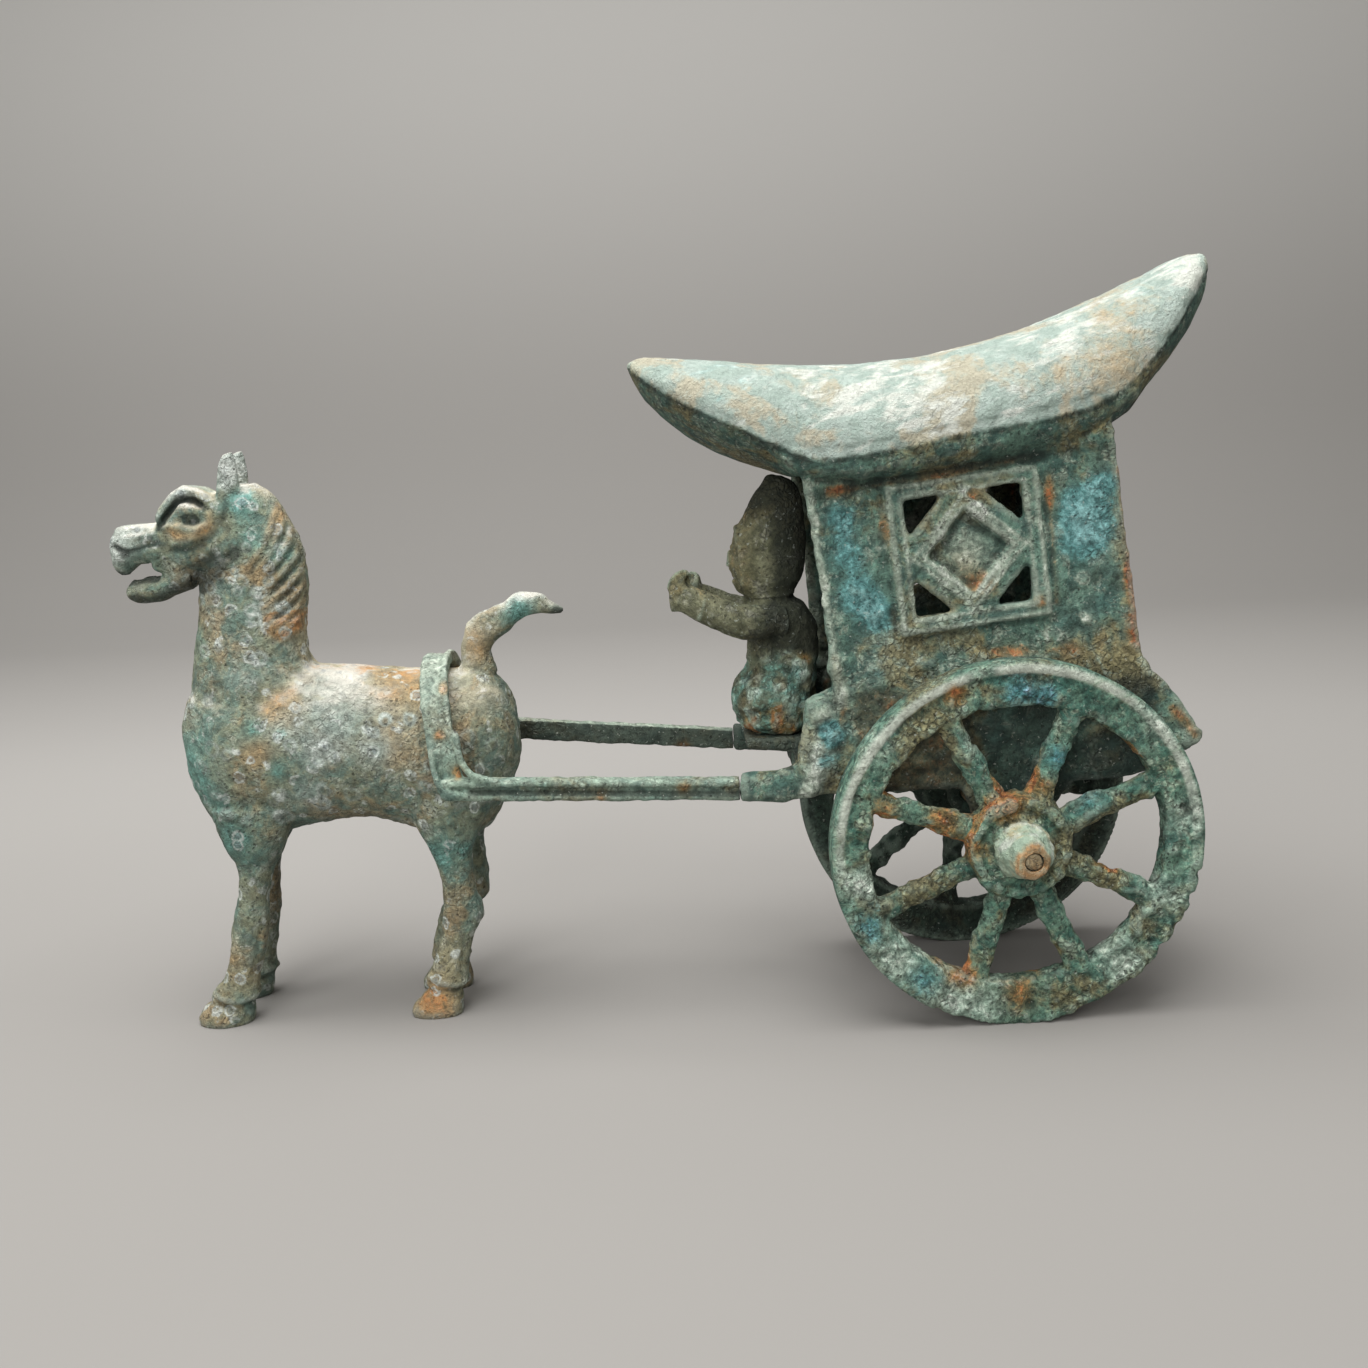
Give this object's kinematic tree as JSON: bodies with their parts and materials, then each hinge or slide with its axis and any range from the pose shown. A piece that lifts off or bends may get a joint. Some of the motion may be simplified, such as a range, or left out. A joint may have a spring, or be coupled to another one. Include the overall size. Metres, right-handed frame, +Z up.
{
  "type": "bronze horse and covered carriage",
  "caption": "Cast bronze ornament with green patina: a standing horse in shafts draws a covered carriage with a hooded driver and spoked wheels that turn.",
  "frame": {"origin": "middle of the base of the bounding box, on the surface that the hooves and wheels stand on", "axes": "+X towards the back of the carriage, so the horse looks along -X; +Y to the far side; +Z up"},
  "size_m": [0.3034, 0.1002, 0.203],
  "materials": {
    "horse_bronze": "matte grey-green patina with tan wear",
    "carriage_bronze": "matte pale green patina with blue crust and rust seams",
    "driver_bronze": "matte dark green patina",
    "shaft_bronze": "matte grey-green patina",
    "axle_bronze": "dull brown",
    "wheel_bronze": "pitted green patina with rust at the spoke roots",
    "far_wheel_bronze": "pitted dark green patina"
  },
  "bodies": {
    "chassis": {"horse": "horse_bronze", "carriage": "carriage_bronze", "driver": "driver_bronze", "shafts": "shaft_bronze", "axle": "axle_bronze"},
    "near_wheel": {"wheel_left": "wheel_bronze"},
    "far_wheel": {"wheel_right": "far_wheel_bronze"}
  },
  "joints": [
    {"name": "near_wheel_spin", "type": "hinge", "parent": "chassis", "child": "near_wheel", "pos_m": [0.0913, 0, 0.05], "axis": [-0.0419, 0.9991, 0], "continuous": true},
    {"name": "far_wheel_spin", "type": "hinge", "parent": "chassis", "child": "far_wheel", "pos_m": [0.0913, 0, 0.05], "axis": [-0.0419, 0.9991, 0], "continuous": true}
  ]
}
